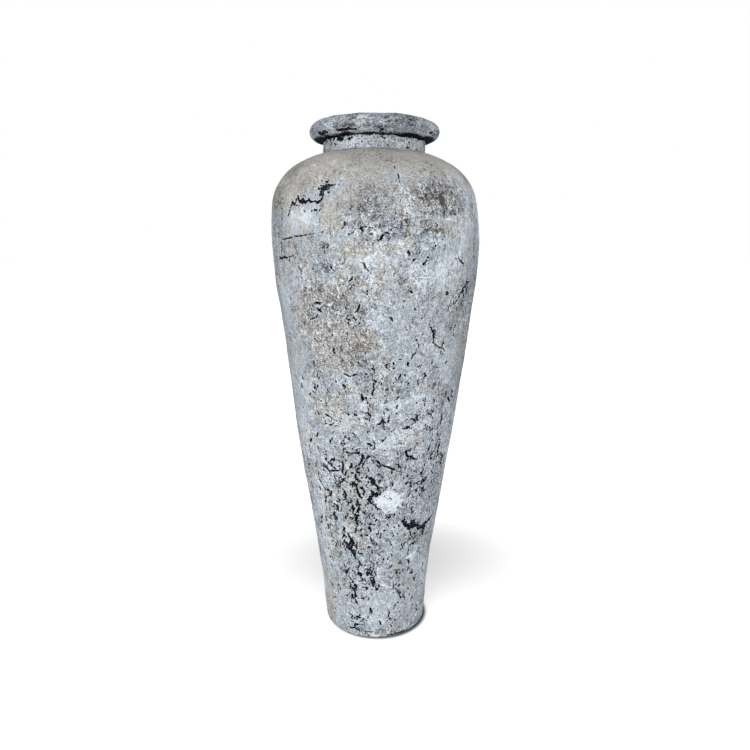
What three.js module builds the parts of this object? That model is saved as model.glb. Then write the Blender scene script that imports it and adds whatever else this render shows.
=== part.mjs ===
// A tall floor vase in coarse fired clay, about a metre high, as a potter builds a jar of this size.
// A slab makes the foot. Four wall rings are raised on it one after the other, then comes the shoulder
// dome, the neck collar and the rolled lip. Each piece has a V ridge round its lower edge that keys
// into a V groove in the piece below, and slip fills the joint before the jar is fired.
import * as THREE from "three";

// Driving sizes in millimetres. Heights are measured from the floor.
const WALL = 12; // thickness of the clay, square to the surface
const SLAB = 18; // thickness of the foot slab

// The outer line of the wall passes through these rings, from the floor up to the belt, the widest.
const FOOT_RADIUS = 103;
const ANKLE_HEIGHT = 100;
const ANKLE_RADIUS = 111;
const CALF_HEIGHT = 260;
const CALF_RADIUS = 133.5;
const WAIST_HEIGHT = 420;
const WAIST_RADIUS = 157.5;
const CHEST_HEIGHT = 560;
const CHEST_RADIUS = 174.2;
const BELT_HEIGHT = 780;
const BELT_RADIUS = 197;

// Just below the belt the line is set by how far down and how far in it lies from the belt.
const SWELL_DROP = 65;
const SWELL_INSET = 3.8;
const UPPER_CHEST_DROP = 130;
const UPPER_CHEST_INSET = 12.6;

// Above the belt the line is three arcs that flow into each other, and the last one meets the neck.
const BELT_ARC_RADIUS = 560;
const BELT_ARC_SWEEP = 7.6; // degrees
const SHOULDER_ARC_RADIUS = 95;
const SHOULDER_ARC_SWEEP = 52.2; // degrees
const CROWN_ARC_RADIUS = 200;

const NECK_RADIUS = 95;
const NECK_SHOWING = 23.4; // what shows of the neck between the shoulder and the roll of the lip
const LIP_OVERHANG = 25.5; // how far the roll stands out past the neck
const LIP_ROLL_WIDTH = 43; // the roll's section is an ellipse of this width and height
const LIP_ROLL_HEIGHT = 32.5;

const FOOT_EDGE_RADIUS = 5; // the worn lower edge
const STANDING_RIM = 26; // width of the flat ring that the jar stands on
const UNDERSIDE_DISH = 3; // how far the middle of the underside is hollowed
const UNDERSIDE_SLOPE = 8; // width of the slope into that hollow

// The heights where one piece is luted on to the next.
const FIRST_JOINT = 212;
const SECOND_JOINT = 406;
const THIRD_JOINT = 600;
const BELT_JOINT = 795;

const RIDGE_DEPTH = 4;
const RIDGE_WIDTH = 5.5;
const SLIP_GAP = 0.3; // the film of slip between a ridge and its groove

const TURNS = 48; // facets round the jar
const WALL_STEP = 46; // height of a facet up the wall
const ARC_STEP = 9; // degrees of a facet along the shoulder
const ROLL_STEP = 15; // degrees of a facet round the lip
const LEAST_FACET = 3; // no facet ends nearer than this to a joint or to the bore

const RADIANS = Math.PI / 180;

// The outer line of the wall from the floor to the belt, a smooth curve through the named rings.
function wallLine() {
  const curve = new THREE.SplineCurve([
    new THREE.Vector2(FOOT_RADIUS, 0),
    new THREE.Vector2(ANKLE_RADIUS, ANKLE_HEIGHT),
    new THREE.Vector2(CALF_RADIUS, CALF_HEIGHT),
    new THREE.Vector2(WAIST_RADIUS, WAIST_HEIGHT),
    new THREE.Vector2(CHEST_RADIUS, CHEST_HEIGHT),
    new THREE.Vector2(BELT_RADIUS - UPPER_CHEST_INSET, BELT_HEIGHT - UPPER_CHEST_DROP),
    new THREE.Vector2(BELT_RADIUS - SWELL_INSET, BELT_HEIGHT - SWELL_DROP),
    new THREE.Vector2(BELT_RADIUS, BELT_HEIGHT),
  ]);
  return curve.getSpacedPoints(Math.ceil(BELT_HEIGHT / WALL_STEP));
}

// Continues a line with an arc that bends towards the axis. The lean is the angle that the line has
// turned from upright. The arc stops after its sweep, or where it comes in to the given radius.
function bend(line, lean, arcRadius, sweep, stopRadius = 0) {
  const start = line.at(-1);
  const centreX = start.x - arcRadius * Math.cos(lean);
  const centreY = start.y - arcRadius * Math.sin(lean);
  const stopLean = Math.acos(Math.max(0, (stopRadius - centreX) / arcRadius));
  const endLean = stopRadius ? stopLean : lean + sweep * RADIANS;
  const steps = Math.max(2, Math.ceil((endLean - lean) / (ARC_STEP * RADIANS)));
  for (let i = 1; i <= steps; i++) {
    const angle = lean + ((endLean - lean) * i) / steps;
    line.push(
      new THREE.Vector2(
        centreX + arcRadius * Math.cos(angle),
        centreY + arcRadius * Math.sin(angle),
      ),
    );
  }
  return endLean;
}

// The outer line of the body, from the floor to the foot of the neck.
function bodyLine() {
  const line = wallLine();
  let lean = bend(line, 0, BELT_ARC_RADIUS, BELT_ARC_SWEEP);
  lean = bend(line, lean, SHOULDER_ARC_RADIUS, SHOULDER_ARC_SWEEP);
  bend(line, lean, CROWN_ARC_RADIUS, 0, NECK_RADIUS);
  return line;
}

// The same line moved in by a thickness, square to the surface.
function movedIn(line, thickness) {
  return line.map((point, i) => {
    const before = line[Math.max(i - 1, 0)];
    const after = line[Math.min(i + 1, line.length - 1)];
    const along = after.clone().sub(before).normalize();
    return new THREE.Vector2(
      point.x - along.y * thickness,
      point.y + along.x * thickness,
    );
  });
}

// The radius of a line at a height.
function radiusAt(line, height) {
  const i = Math.max(
    1,
    line.findIndex((point) => point.y >= height),
  );
  const [low, high] = [line[i - 1], line[i]];
  const share = (height - low.y) / (high.y - low.y);
  return low.x + (high.x - low.x) * share;
}

// The stretch of a line from one height to another, with a point on each of the two.
function stretch(line, low, high) {
  const between = line.filter(
    (point) => point.y > low + LEAST_FACET && point.y < high - LEAST_FACET,
  );
  return [
    new THREE.Vector2(radiusAt(line, low), low),
    ...between,
    new THREE.Vector2(radiusAt(line, high), high),
  ];
}

const outside = bodyLine();
const inside = movedIn(outside, WALL);
const neckHeight = outside.at(-1).y;
const boreRadius = NECK_RADIUS - WALL;
const neckMiddle = NECK_RADIUS - WALL / 2;

// The middle of the wall at a joint, where its ridge and groove run.
function jointRadius(height) {
  return (radiusAt(outside, height) + radiusAt(inside, height)) / 2;
}

// The V ridge under the lower edge of a piece, from the inside out.
function ridge(middle, height) {
  return [
    new THREE.Vector2(middle - RIDGE_WIDTH / 2, height),
    new THREE.Vector2(middle, height - RIDGE_DEPTH),
    new THREE.Vector2(middle + RIDGE_WIDTH / 2, height),
  ];
}

// The V groove in the upper edge of a piece, from the outside in. It clears the ridge by the slip gap.
function groove(middle, height) {
  const halfWidth = RIDGE_WIDTH / 2 + SLIP_GAP;
  const depth = (RIDGE_DEPTH * halfWidth) / (RIDGE_WIDTH / 2);
  return [
    new THREE.Vector2(middle + halfWidth, height),
    new THREE.Vector2(middle, height - depth),
    new THREE.Vector2(middle - halfWidth, height),
  ];
}

// A piece turned round the upright axis from its section.
function turned(name, section, material) {
  const geometry = new THREE.LatheGeometry(section, TURNS);
  geometry.rotateX(Math.PI / 2);
  const mesh = new THREE.Mesh(geometry, material);
  mesh.name = name;
  return mesh;
}

// The foot slab: a worn lower edge, a flat standing rim, a dished underside and a groove on top.
function footSlab(material) {
  const edgeCentre = FOOT_RADIUS - FOOT_EDGE_RADIUS;
  const halfWayRound = Math.PI / 4;
  const dishRadius = edgeCentre - STANDING_RIM;
  const section = [
    new THREE.Vector2(0, UNDERSIDE_DISH),
    new THREE.Vector2(dishRadius - UNDERSIDE_SLOPE, UNDERSIDE_DISH),
    new THREE.Vector2(dishRadius, 0),
    new THREE.Vector2(edgeCentre, 0),
    new THREE.Vector2(
      edgeCentre + FOOT_EDGE_RADIUS * Math.sin(halfWayRound),
      FOOT_EDGE_RADIUS * (1 - Math.cos(halfWayRound)),
    ),
    new THREE.Vector2(radiusAt(outside, FOOT_EDGE_RADIUS), FOOT_EDGE_RADIUS),
    new THREE.Vector2(radiusAt(outside, SLAB), SLAB),
    ...groove(jointRadius(SLAB), SLAB),
    new THREE.Vector2(0, SLAB),
  ];
  return turned("foot_slab", section, material);
}

// A ring of the wall between two joints, with a ridge below and a groove above.
function wallRing(name, low, high, material) {
  const outer = stretch(outside, low, high);
  const section = [
    ...outer,
    ...groove(jointRadius(high), high),
    ...stretch(inside, low, high).reverse(),
    ...ridge(jointRadius(low), low),
    outer[0].clone(),
  ];
  return turned(name, section, material);
}

// The shoulder dome: it closes in from the belt to the flat seat that carries the neck.
function shoulderDome(material) {
  const outer = stretch(outside, BELT_JOINT, neckHeight);
  const inner = inside.filter(
    (point) => point.y > BELT_JOINT + LEAST_FACET && point.x > boreRadius + LEAST_FACET,
  );
  const mouthHeight = neckHeight - WALL;
  const section = [
    ...outer,
    ...groove(neckMiddle, neckHeight),
    new THREE.Vector2(boreRadius, neckHeight),
    new THREE.Vector2(boreRadius, mouthHeight),
    ...inner.reverse(),
    new THREE.Vector2(radiusAt(inside, BELT_JOINT), BELT_JOINT),
    ...ridge(jointRadius(BELT_JOINT), BELT_JOINT),
    outer[0].clone(),
  ];
  return turned("shoulder_dome", section, material);
}

// The roll of the lip is an ellipse. It sits on the neck where its underside meets the neck's face.
const rollHalfWidth = LIP_ROLL_WIDTH / 2;
const rollHalfHeight = LIP_ROLL_HEIGHT / 2;
const rollRadius = NECK_RADIUS + LIP_OVERHANG - rollHalfWidth;
const lipSeat = neckHeight + NECK_SHOWING;
const seatAngle = -Math.acos((NECK_RADIUS - rollRadius) / rollHalfWidth);
const boreAngle = Math.acos((boreRadius - rollRadius) / rollHalfWidth);
const rollHeight = lipSeat - rollHalfHeight * Math.sin(seatAngle);

// The neck collar: a plain ring between the seat on the dome and the seat under the lip.
function neckCollar(material) {
  const section = [
    new THREE.Vector2(NECK_RADIUS, neckHeight),
    new THREE.Vector2(NECK_RADIUS, lipSeat),
    ...groove(neckMiddle, lipSeat),
    new THREE.Vector2(boreRadius, lipSeat),
    new THREE.Vector2(boreRadius, neckHeight),
    ...ridge(neckMiddle, neckHeight),
    new THREE.Vector2(NECK_RADIUS, neckHeight),
  ];
  return turned("neck_collar", section, material);
}

// The rolled lip: the fat round edge, with its inner side flush with the bore of the neck.
function rolledLip(material) {
  const steps = Math.round((boreAngle - seatAngle) / (ROLL_STEP * RADIANS));
  const roll = [];
  for (let i = 0; i <= steps; i++) {
    const angle = seatAngle + ((boreAngle - seatAngle) * i) / steps;
    roll.push(
      new THREE.Vector2(
        rollRadius + rollHalfWidth * Math.cos(angle),
        rollHeight + rollHalfHeight * Math.sin(angle),
      ),
    );
  }
  const section = [
    ...roll,
    new THREE.Vector2(boreRadius, lipSeat),
    ...ridge(neckMiddle, lipSeat),
    roll[0].clone(),
  ];
  return turned("rolled_lip", section, material);
}

const footClay = new THREE.MeshStandardMaterial({ color: 0xa9a8a4, roughness: 0.95, metalness: 0 });
const wallClay = new THREE.MeshStandardMaterial({ color: 0xb3b3b2, roughness: 0.92, metalness: 0 });
const domeClay = new THREE.MeshStandardMaterial({ color: 0xb4afa6, roughness: 0.9, metalness: 0 });
const neckClay = new THREE.MeshStandardMaterial({ color: 0x9c9fa2, roughness: 0.92, metalness: 0 });
const lipClay = new THREE.MeshStandardMaterial({ color: 0x8d9094, roughness: 0.9, metalness: 0 });

const vase = new THREE.Group();
vase.add(
  footSlab(footClay),
  wallRing("lower_wall_ring", SLAB, FIRST_JOINT, wallClay),
  wallRing("middle_wall_ring", FIRST_JOINT, SECOND_JOINT, wallClay),
  wallRing("upper_wall_ring", SECOND_JOINT, THIRD_JOINT, wallClay),
  wallRing("belt_wall_ring", THIRD_JOINT, BELT_JOINT, wallClay),
  shoulderDome(domeClay),
  neckCollar(neckClay),
  rolledLip(lipClay),
);

export default vase;
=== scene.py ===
import math

import bpy
import numpy as np
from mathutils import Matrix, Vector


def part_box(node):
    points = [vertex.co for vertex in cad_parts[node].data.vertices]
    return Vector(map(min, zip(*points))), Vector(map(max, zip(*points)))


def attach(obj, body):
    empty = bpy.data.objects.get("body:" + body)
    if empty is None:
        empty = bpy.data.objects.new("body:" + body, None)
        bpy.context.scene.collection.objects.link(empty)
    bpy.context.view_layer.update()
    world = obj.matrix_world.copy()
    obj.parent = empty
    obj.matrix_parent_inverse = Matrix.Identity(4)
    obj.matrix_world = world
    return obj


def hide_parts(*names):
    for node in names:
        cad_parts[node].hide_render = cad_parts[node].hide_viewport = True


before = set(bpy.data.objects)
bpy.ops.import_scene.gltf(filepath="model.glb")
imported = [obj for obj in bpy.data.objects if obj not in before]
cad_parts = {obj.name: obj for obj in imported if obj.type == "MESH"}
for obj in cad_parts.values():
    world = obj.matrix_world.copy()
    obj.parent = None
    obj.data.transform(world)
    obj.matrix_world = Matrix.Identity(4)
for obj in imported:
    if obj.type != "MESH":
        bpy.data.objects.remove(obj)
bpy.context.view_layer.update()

# The foot slab
# A flat disc of coarse clay, pressed out and trimmed, that carries the whole jar. It stands on a flat
# ring round a dished middle, and its lower edge is worn and chipped from being walked about.

CLAY = 0.012  # thickness of the wall, in metres like every size here
COLUMNS = 720  # cells round the jar
CELL = 0.0018  # height of a cell on the outer skin
INNER_CELL = 0.012  # height of a cell on the inside, which hardly shows
RING_POINTS = 60  # points of the outer line from one wall ring to the next
ARC_POINTS = 160  # points of the outer line on each arc above the belt

# The outer line of the wall passes through these rings, each a height and a radius.
WALL_RINGS = np.array([
    (0.000, 0.1030),
    (0.040, 0.1066),
    (0.100, 0.1110),
    (0.260, 0.1335),
    (0.420, 0.1575),
    (0.560, 0.1742),
    (0.650, 0.1844),
    (0.715, 0.1932),
    (0.780, 0.1970),
])
BELT_ARC = 0.560  # radii of the three arcs above the belt, and the turns of the first two
SHOULDER_ARC = 0.095
CROWN_ARC = 0.200
BELT_TURN = math.radians(7.6)
SHOULDER_TURN = math.radians(52.2)
NECK_RADIUS = 0.095
BORE_RADIUS = NECK_RADIUS - CLAY

RIDGE_DEPTH = 0.004
RIDGE_WIDTH = 0.0055
SLIP_GAP = 0.0003

MM = 0.001

# The slip was brushed over the whole jar once it stood, so its marks run on across the joints and are
# set out here together. A turn is in degrees from the front, towards +X, and a height in millimetres.
# Every crack is its width in millimetres and then the turn and height of each corner.
CRACKS = [
    (2.4, (-41, 851), (-38, 848)), (8.0, (-28, 862), (-26, 870), (-23, 875)), (4.0, (-25, 875), (-20, 875)),
    (4.0, (-64, 756), (-58, 758), (-53, 759)), (1.6, (-56, 758), (-46, 762)), (3.0, (-34, 834), (-27, 838)),
    (1.8, (-14, 895), (-17, 884), (-18, 874)), (2.6, (-35, 681), (-31, 683), (-30, 676)),
    (4.5, (-33, 672), (-31, 668)), (3.0, (-39, 653), (-35, 657), (-33, 664)),
    (3.6, (-8, 684), (-9, 677), (-11, 669)), (3.2, (-12, 661), (-11, 655), (-12, 650)),
    (3.0, (-11, 641), (-11, 639)), (2.0, (-16, 677), (-14, 665), (-16, 657)), (1.7, (-22, 641), (-17, 639)),
    (3.2, (-25, 606), (-24, 594)), (2.2, (-38, 620), (-34, 612)),
    (2.4, (-19, 562), (-15, 556), (-12, 561), (-8, 557)),
    (2.6, (-46, 512), (-43, 520), (-39, 508), (-35, 503)), (2.6, (-6, 519), (-5, 507)),
    (3.2, (-34, 480), (-29, 474), (-25, 470)), (2.4, (-36, 462), (-30, 460), (-25, 458)),
    (3.0, (-18, 489), (-16, 481)), (3.0, (30, 648), (33, 629), (34, 613), (39, 603), (44, 593)),
    (2.0, (30, 690), (34, 700), (40, 696), (43, 690)), (3.2, (62, 718), (56, 709), (50, 688), (48, 676)),
    (2.6, (58, 722), (54, 704)), (3.0, (52, 640), (50, 630)), (2.6, (47, 636), (50, 626)),
    (2.6, (9, 582), (10, 578)), (2.2, (24, 570), (27, 573), (26, 566)),
    (1.6, (33, 561), (37, 567), (42, 565)), (4.2, (19, 543), (21, 541)), (3.0, (50, 520), (53, 508)),
    (2.6, (58, 504), (62, 496)), (2.4, (55, 515), (60, 510)), (2.8, (10, 494), (10, 488)),
    (2.8, (35, 482), (38, 477)), (2.4, (38, 486), (41, 478)), (3.0, (54, 502), (57, 490)),
    (3.4, (63, 452), (64, 444)), (2.4, (30, 424), (27, 412)), (3.0, (20, 412), (23, 402)),
    (3.4, (23, 403), (27, 398)), (3.2, (25, 396), (30, 392)), (2.4, (62, 440), (66, 424)),
    (3.2, (59, 378), (62, 366)), (3.0, (57, 372), (60, 360)), (3.0, (26, 346), (30, 340)),
    (2.6, (31, 346), (34, 338)), (2.4, (50, 302), (50, 290)), (1.8, (32, 650), (35, 629)),
    (1.8, (38, 702), (44, 694)), (2.4, (52, 712), (45, 690), (42, 668)), (2.4, (19, 761), (17, 748)),
    (3.4, (26, 757), (23, 747)), (2.2, (46, 761), (52, 744)),
    (1.2, (11, 905), (12, 893), (13, 876), (14, 861), (12, 845)),
    (1.6, (4, 842), (8, 838), (10, 830), (9, 820)), (1.4, (-13, 796), (-9, 804), (-5, 810), (-1, 806)),
    (1.8, (1, 787), (4, 796), (7, 802)), (2.2, (-27, 786), (-24, 779), (-25, 773)),
    (2.2, (-25, 757), (-24, 749), (-22, 739), (-20, 737)), (3.0, (4, 800), (2, 788)),
    (3.2, (18, 545), (18, 542)), (2.2, (16, 524), (12, 512)), (5.4, (4, 478), (5, 472)),
    (4.0, (3, 474), (6, 470)), (2.4, (18, 458), (21, 457), (24, 462), (28, 471)),
    (1.9, (14, 464), (8, 445), (4, 432)), (3.2, (1, 397), (4, 391), (9, 381), (17, 373)),
    (4.2, (10, 379), (15, 374)), (2.4, (25, 418), (21, 408), (27, 396)),
    (3.0, (-49, 421), (-53, 412), (-54, 402)), (4.0, (-6, 430), (-2, 427)),
    (3.6, (-24, 411), (-16, 409), (-9, 408), (-9, 398), (-10, 389)),
    (3.0, (-40, 378), (-37, 370), (-34, 365), (-27, 369)), (3.2, (-33, 383), (-32, 374)),
    (3.8, (-24, 391), (-23, 379)), (2.6, (-18, 372), (-15, 368)),
    (3.2, (-20, 372), (-22, 357), (-24, 350), (-27, 342), (-30, 353)), (2.6, (-27, 342), (-27, 334)),
    (4.4, (-24, 336), (-23, 325), (-23, 312), (-22, 304)), (3.6, (-16, 358), (-12, 350), (-10, 354)),
    (3.2, (-12, 350), (-13, 343), (-13, 330), (-10, 316)), (2.2, (-9, 342), (-8, 329), (-10, 316)),
    (3.6, (-13, 313), (-13, 304)), (4.2, (-18, 302), (-17, 290)), (3.0, (-47, 341), (-44, 331), (-42, 322)),
    (2.6, (-40, 294), (-35, 297), (-30, 294), (-30, 282)), (2.4, (-39, 267), (-42, 259), (-37, 262)),
    (2.4, (-43, 247), (-40, 246), (-41, 238)), (2.0, (-39, 246), (-36, 237)), (2.6, (-22, 271), (-16, 273)),
    (3.8, (-16, 273), (-15, 265), (-14, 254)), (3.4, (-16, 251), (-16, 240)),
    (4.4, (-24, 238), (-22, 227), (-20, 223), (-23, 211), (-24, 204)),
    (5.0, (-24, 204), (-19, 196), (-17, 182), (-11, 169)), (3.0, (-19, 222), (-18, 214)),
    (2.4, (-10, 288), (-7, 284)), (3.0, (-6, 263), (-3, 265)), (3.4, (-8, 254), (-3, 249)),
    (3.2, (-9, 239), (-4, 235), (-3, 226)), (3.0, (-7, 210), (-3, 212)),
    (2.8, (3, 332), (-2, 321), (-5, 315)), (3.4, (-5, 315), (-1, 304), (5, 295)),
    (3.0, (22, 300), (27, 299)),
    (7.0, (23, 263), (28, 254), (34, 256), (38, 246), (44, 237), (49, 243), (56, 243), (64, 252)),
    (6.0, (27, 251), (33, 247), (38, 243)), (4.0, (31, 262), (33, 255)),
    (5.0, (44, 240), (50, 236), (53, 244)), (2.2, (50, 300), (49, 275)),
    (2.6, (24, 349), (28, 341), (27, 335)), (2.4, (34, 344), (38, 342)), (3.2, (50, 396), (55, 383)),
    (4.0, (-16, 159), (-15, 147), (-11, 134)), (3.4, (-8, 146), (-6, 154), (-1, 147)),
    (2.4, (-29, 134), (-25, 140)), (3.2, (-25, 124), (-22, 109), (-19, 97), (-22, 91), (-19, 76)),
    (3.4, (-5, 128), (-4, 121), (-9, 114)), (2.8, (-58, 110), (-52, 100), (-47, 97), (-42, 90)),
    (2.0, (-63, 190), (-60, 158)), (4.6, (41, 208), (35, 206), (31, 204)), (2.6, (24, 214), (26, 206)),
    (2.0, (17, 158), (16, 149)), (2.6, (24, 125), (20, 120)), (2.0, (24, 78), (20, 66)),
    (2.2, (36, 88), (42, 86)), (2.4, (40, 149), (41, 137)), (2.4, (43, 126), (44, 118)),
    (2.0, (-30, 52), (-24, 44), (-20, 40)), (2.0, (-27, 34), (-18, 28), (-10, 32)),
    (2.4, (-24, 43), (-16, 46), (-9, 42)), (3.0, (-33, 14), (-24, 20), (-14, 12)),
    # The first crack on the next line, along the foot's bottom edge from turn 14 to 48, is painted shadow
    # under the chipped edge.
    (4.0, (14, 5), (20, 3), (28, 6), (36, 4), (48, 6)), (2.6, (-20, 22), (-12, 14), (-4, 18)),
]
# Scores that a point cut through the slip, straight and unfrayed, written like the cracks.
SCORES = [
    (2.8, (-51, 826), (-49, 838), (-47, 852), (-45, 846), (-43, 861), (-41, 850), (-39, 857)),
    (3.8, (-39, 857), (-37, 848), (-35, 855), (-33, 849), (-31, 851), (-29, 847), (-27, 853), (-26, 861)),
    (2.2, (-44, 846), (-41, 844)),
    (2.4, (-63, 787), (-50, 792), (-38, 796), (-26, 801)),
    (2.4, (-57, 846), (-57, 815)),
    (2.6, (-58, 806), (-58, 785), (-59, 762)),
    (1.6, (-63, 818), (-62, 790)),
    (1.4, (-60, 748), (-61, 712)),
    (2.0, (8, 385), (13, 377), (18, 371)),
    (1.8, (-60, 180), (-56, 120)),
]
# Round spots where the slip has popped off down to the dark undercoat: width, turn and height.
SPOTS = [
    (3.6, 26, 481), (3.2, 23, 474), (2.8, 20, 474), (3.4, 31, 507), (3.0, 40, 500), (2.8, 60, 520),
    (3.2, -14, 382), (3.0, -9, 361), (3.2, -6, 362), (3.0, -2, 347), (3.0, -3, 334), (3.0, -7, 291),
    (3.2, -1, 281), (3.2, -3, 268), (2.8, 2, 326), (3.0, -22, 550), (3.2, -36, 549), (3.6, 18, 545),
    (2.6, 13, 487), (3.0, 40, 427), (3.2, 46, 411), (3.0, 42, 396), (2.8, 55, 389), (4.2, 33, 219),
    (3.0, -52, 741), (3.0, 44, 757), (3.0, 14, 729), (3.2, 24, 826), (2.8, 18, 842), (3.0, 17, 811),
    (2.6, -6, 858), (2.6, 8, 181), (2.6, 27, 181), (2.8, 43, 160), (2.8, 47, 128), (2.6, -40, 122),
    (2.8, -45, 168),
]
# White marks where lime has gathered in scratches, written like the cracks.
CHALK_MARKS = [
    (11.0, (7, 329), (11, 331), (15, 328)), (12.0, (3, 320), (10, 322), (19, 318)),
    (12.0, (1, 311), (11, 313), (22, 311)), (12.0, (2, 302), (11, 303), (20, 301)),
    (10.0, (6, 294), (11, 292), (17, 295)),
    (5.6, (-51, 352), (-48, 334), (-44, 323), (-40, 312), (-36, 304), (-30, 299)),
    (3.2, (-46, 215), (-41, 213), (-36, 212)), (5.0, (44, 192), (39, 184), (36, 178), (30, 180)),
    (5.0, (36, 179), (37, 169)), (4.6, (1, 127), (5, 124), (10, 124)), (5.0, (-8, 12), (0, 7), (8, 7)),
    (3.4, (32, 11), (44, 17), (54, 29)), (2.0, (1, 240), (2, 200), (3, 165), (3, 120)),
    (3.0, (10, 782), (14, 781)), (3.4, (37, 823), (41, 819)), (3.0, (-32, 815), (-26, 811)),
    (2.6, (-3, 801), (1, 798)), (3.0, (-7, 756), (-3, 760), (0, 766)),
    (2.6, (14, 330), (20, 322), (24, 326)), (2.2, (-26, 50), (-20, 58)),
    (2.4, (14, 60), (20, 52), (27, 50)), (2.2, (22, 520), (30, 512)), (2.2, (-36, 636), (-33, 628)),
]
# Zones of seeded cracks, where each side of the jar is marked in its own way: turn and height of the
# middle, how far the cracks stray in turn and in height, their number, and their size.
CRACKED_ZONES = [
    (-98, 250, 14, 80, 34, 1.0), (-140, 170, 12, 60, 30, 1.0), (172, 280, 14, 90, 44, 1.0),
    (128, 190, 12, 70, 34, 1.0), (92, 330, 10, 60, 20, 1.0), (-165, 520, 14, 60, 16, 1.0),
    (108, 640, 10, 50, 14, 1.0), (-112, 700, 12, 50, 14, 1.0), (150, 800, 12, 30, 14, 1.0),
    (-18, 400, 16, 50, 16, 0.75), (-24, 300, 14, 50, 26, 0.7), (-12, 225, 14, 50, 30, 0.65),
    (42, 400, 12, 60, 12, 0.75), (30, 250, 18, 60, 14, 0.6), (-170, 120, 180, 60, 50, 0.9),
    (180, 330, 90, 110, 50, 0.9), (180, 560, 120, 150, 60, 0.9), (-12, 320, 22, 110, 190, 0.42),
    (30, 300, 24, 130, 110, 0.4), (0, 560, 36, 90, 100, 0.35), (10, 800, 34, 50, 30, 0.35),
    (-6, 90, 34, 50, 60, 0.4), (180, 420, 70, 220, 260, 0.4),
]
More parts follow.
